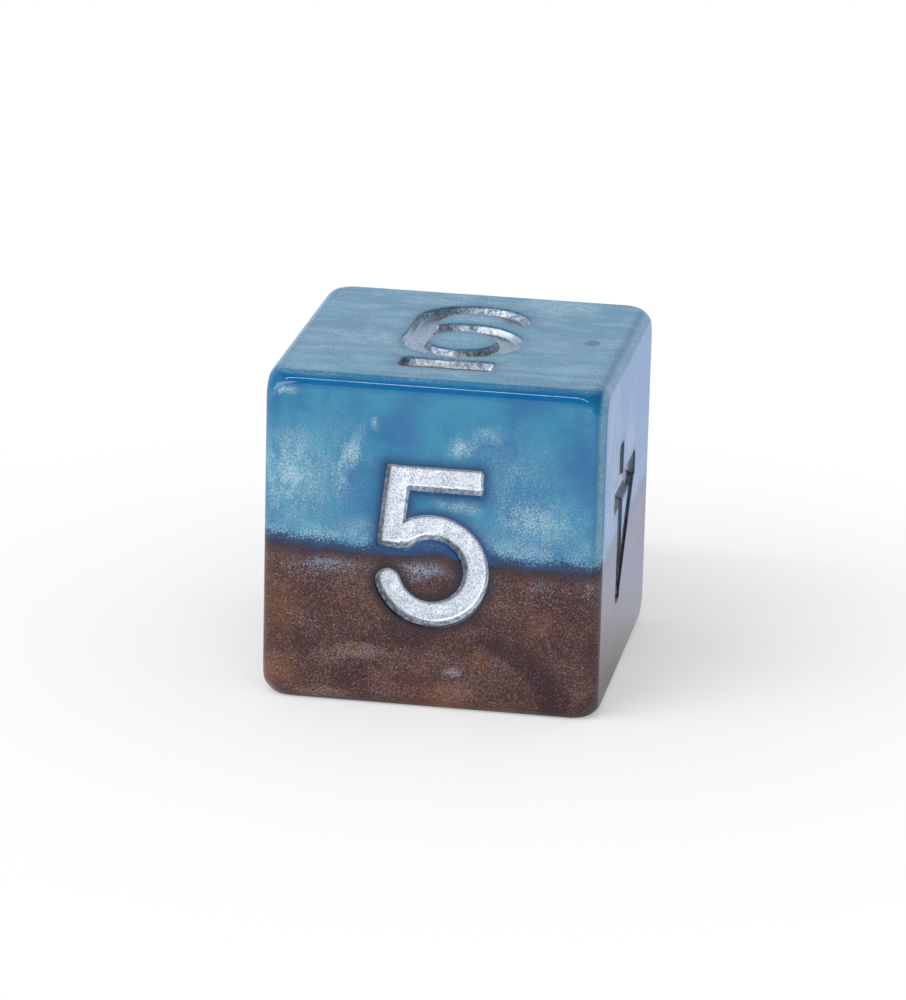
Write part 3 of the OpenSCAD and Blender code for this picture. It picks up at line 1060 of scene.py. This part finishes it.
def silver_paint():
    """Granular metallic silver paint, mostly dark on the grooves' walls as thin paint with painted
    shade, and with painted highlights on the 6.
    """
    s = Shader(bpy.data.materials.new("silver_paint"))
    place = s.place()
    grain = s.noise(place, 0.07, 3, 0.9).outputs[0]
    colour = s.mix(s.between(grain, 0.34, 0.56), SILVER_DARK, SILVER_PALE)
    highlight_patches = s.largest(*(s.blob(place, middle, reach) for middle, reach in PAINTED_HIGHLIGHTS))
    # The walls darker: thin paint, with painted shade.
    wall = s.between(mark(s), 0.4, 0.95)
    colour = s.lay(colour, SILVER_THIN_AND_SHADE, wall, thin_paint_and_shade(s, place, highlight_patches))
    # Painted highlights on the 6, laid as brighter paint.
    colour = s.lay(colour, SILVER_HIGHLIGHT, highlight_patches, 0.6)
    uneven = s.noise(place, 0.7, 2, 0.5).outputs[0]
    bump = s.node("ShaderNodeBump", {"Strength": 1.0, "Distance": 0.12 * MM, "Height": uneven})
    bump = s.node("ShaderNodeBump", {"Strength": 0.8, "Distance": 0.03 * MM, "Height": grain,
                                     "Normal": bump.outputs[0]})
    return s.surface(Base_Color=colour, Metallic=1.0, Roughness=0.38, Normal=bump.outputs[0])


def thin_paint_and_shade(s, place, highlight_patches):
    """How dark the paint on a wall is: thin paint with painted shade in patches, painted shade all
    over on the right face, less under the painted highlights.
    """
    patchy = s.noise(place, 0.2, 3, 0.75).outputs[0]
    thin = s.math("MAXIMUM", s.between(patchy, 0.36, 0.62, 0.95, 0.2), on_face(s, place, 0, 7.3))
    return s.math("MULTIPLY", thin, s.math("SUBTRACT", 1.0, highlight_patches))


# ---- Stage, light and camera ---------------------------------------------------

WHITE = (1.0, 1.0, 1.0)
COOL_FLOOR = (0.74, 0.80, 1.0)
COOL_ROOM = (0.68, 0.85, 1.0)


def stage():
    """A plain white floor, which keeps the die's soft shadow."""
    reach = 1.5                                    # metres
    mesh = bpy.data.meshes.new("floor")
    corners = [(-reach, -reach, 0), (reach, -reach, 0), (reach, reach, 0), (-reach, reach, 0)]
    mesh.from_pydata(corners, [], [(0, 1, 2, 3)])
    floor = in_scene("floor", mesh)
    mesh.materials.append(floor_white())


def floor_white():
    """White. To the camera the light and shadow on it show round the die, a little weakened,
    and fade out farther off. Mirrored rays meet a plain cool white behind the die."""
    s = Shader(bpy.data.materials.new("floor"))
    at = s.node("ShaderNodeTexCoord").outputs["Object"]
    path = s.node("ShaderNodeLightPath").outputs
    away = s.node("ShaderNodeVectorMath", [at], operation="LENGTH").outputs["Value"]
    behind = s.between(s.node("ShaderNodeSeparateXYZ", [at]).outputs[1], -4 * MM, 16 * MM)
    mirrored = s.math("MULTIPLY", behind, path["Is Glossy Ray"])
    faded = s.between(away, 12 * MM, 40 * MM, 0.35, 1.0)
    plain = s.math("MAXIMUM", s.math("MULTIPLY", faded, path["Is Camera Ray"]), mirrored)
    lit = s.node("ShaderNodeBsdfDiffuse", {"Color": (0.97, 0.97, 0.97, 1)})
    colour = s.mix(mirrored, WHITE, COOL_FLOOR)
    white = s.node("ShaderNodeEmission", {"Color": colour, "Strength": 1.0})
    mixed = s.node("ShaderNodeMixShader", [plain, lit.outputs[0], white.outputs[0]])
    s.node("ShaderNodeOutputMaterial", {"Surface": mixed.outputs[0]})
    return s.owner


def world():
    """Even light all round, and white to the camera. Mirrored and refracted rays meet a cool
    room: dark, with a white backdrop behind the die and a white panel at its front left."""
    s = Shader(bpy.data.worlds.new("studio"))
    path = s.node("ShaderNodeLightPath").outputs
    x, y, z = s.node("ShaderNodeSeparateXYZ",
                     [s.node("ShaderNodeTexCoord").outputs["Generated"]]).outputs
    backdrop = s.math("MULTIPLY", s.between(y, 0.0, 0.35), s.between(z, 0.45, 0.7, 1.0, 0.0))
    panel = s.math("MULTIPLY", s.between(x, -0.55, -0.2, 1.0, 0.0), s.between(y, 0.0, 0.3, 1.0, 0.0))
    panel = s.math("MULTIPLY", panel, s.between(z, 0.5, 0.8, 1.0, 0.0))
    mirrored = s.math("MAXIMUM", path["Is Glossy Ray"], path["Is Transmission Ray"])
    dark_room, even = 0.04, 0.58
    room = s.between(s.math("MAXIMUM", backdrop, panel), 0.0, 1.0, dark_room, 1.0)
    strength = s.math("MULTIPLY_ADD", mirrored, s.math("SUBTRACT", room, even), even)
    strength = s.largest(strength, path["Is Camera Ray"])
    colour = s.mix(mirrored, WHITE, COOL_ROOM)
    background = s.node("ShaderNodeBackground", {"Color": colour, "Strength": strength})
    s.node("ShaderNodeOutputWorld", {"Surface": background.outputs[0]})
    bpy.context.scene.world = s.owner


def lamp(name, place, size, power, target=(0, 0, 0.008)):
    """A flat lamp turned to the die. Place, size and target are in metres, power in watts."""
    data = bpy.data.lights.new(name, "AREA")
    data.shape = "RECTANGLE"
    data.size, data.size_y = size
    data.energy = power
    obj = in_scene(name, data)
    obj.location = place
    obj.rotation_euler = (Vector(target) - Vector(place)).to_track_quat("-Z", "Y").to_euler()


def camera():
    """The photograph's view, fitted to the outline of the die."""
    azimuth, elevation, roll = (math.radians(a) for a in (9.435, 17.64, 1.44))
    distance, side, rise = 248.475, 0.352, 0.138
    focal_px, long_px, sensor = 5189.09, 1000.0, 36.0
    back = Vector((math.sin(azimuth) * math.cos(elevation),
                   -math.cos(azimuth) * math.cos(elevation), math.sin(elevation)))
    level = Vector((math.cos(azimuth), math.sin(azimuth), 0))
    upright = back.cross(level)
    right = level * math.cos(roll) + upright * math.sin(roll)
    up = upright * math.cos(roll) - level * math.sin(roll)
    data = bpy.data.cameras.new("camera")
    data.sensor_width = sensor
    data.lens = focal_px * sensor / long_px
    data.clip_start, data.clip_end = 0.01, 10
    obj = in_scene("camera", data)
    at = (back * distance - right * side - up * rise + Vector((0, 0, half))) * MM
    turn = Matrix((right, up, back)).transposed().to_4x4()
    obj.matrix_world = Matrix.Translation(at) @ turn
    bpy.context.scene.camera = obj


# ---- The pieces ------------------------------------------------------------------


def finish_piece(obj, material, node):
    """Gives a piece its material and the CAD node whose place it takes."""
    obj.data.materials.append(material)
    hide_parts(node)
    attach(obj, "root")


solids = make_solids()
finish_piece(solids.pop("blue_resin").build("blue_resin"),
             blue_resin(), "blue_resin_layer")
finish_piece(solids.pop("copper_resin").build("copper_resin"),
             copper_resin(), "copper_resin_layer")
silver = silver_paint()
for name, solid in solids.items():
    finish_piece(solid.build(name), silver, name.replace("_silver", "_paint"))

stage()
world()
lamp("softbox", (-0.47, -0.45, 0.20), (0.8, 0.3), 3.0)
lamp("strip", (-0.05, -0.30, 0.42), (0.6, 0.030), 0.9)
camera()
bpy.context.scene.view_settings.view_transform = "Standard"
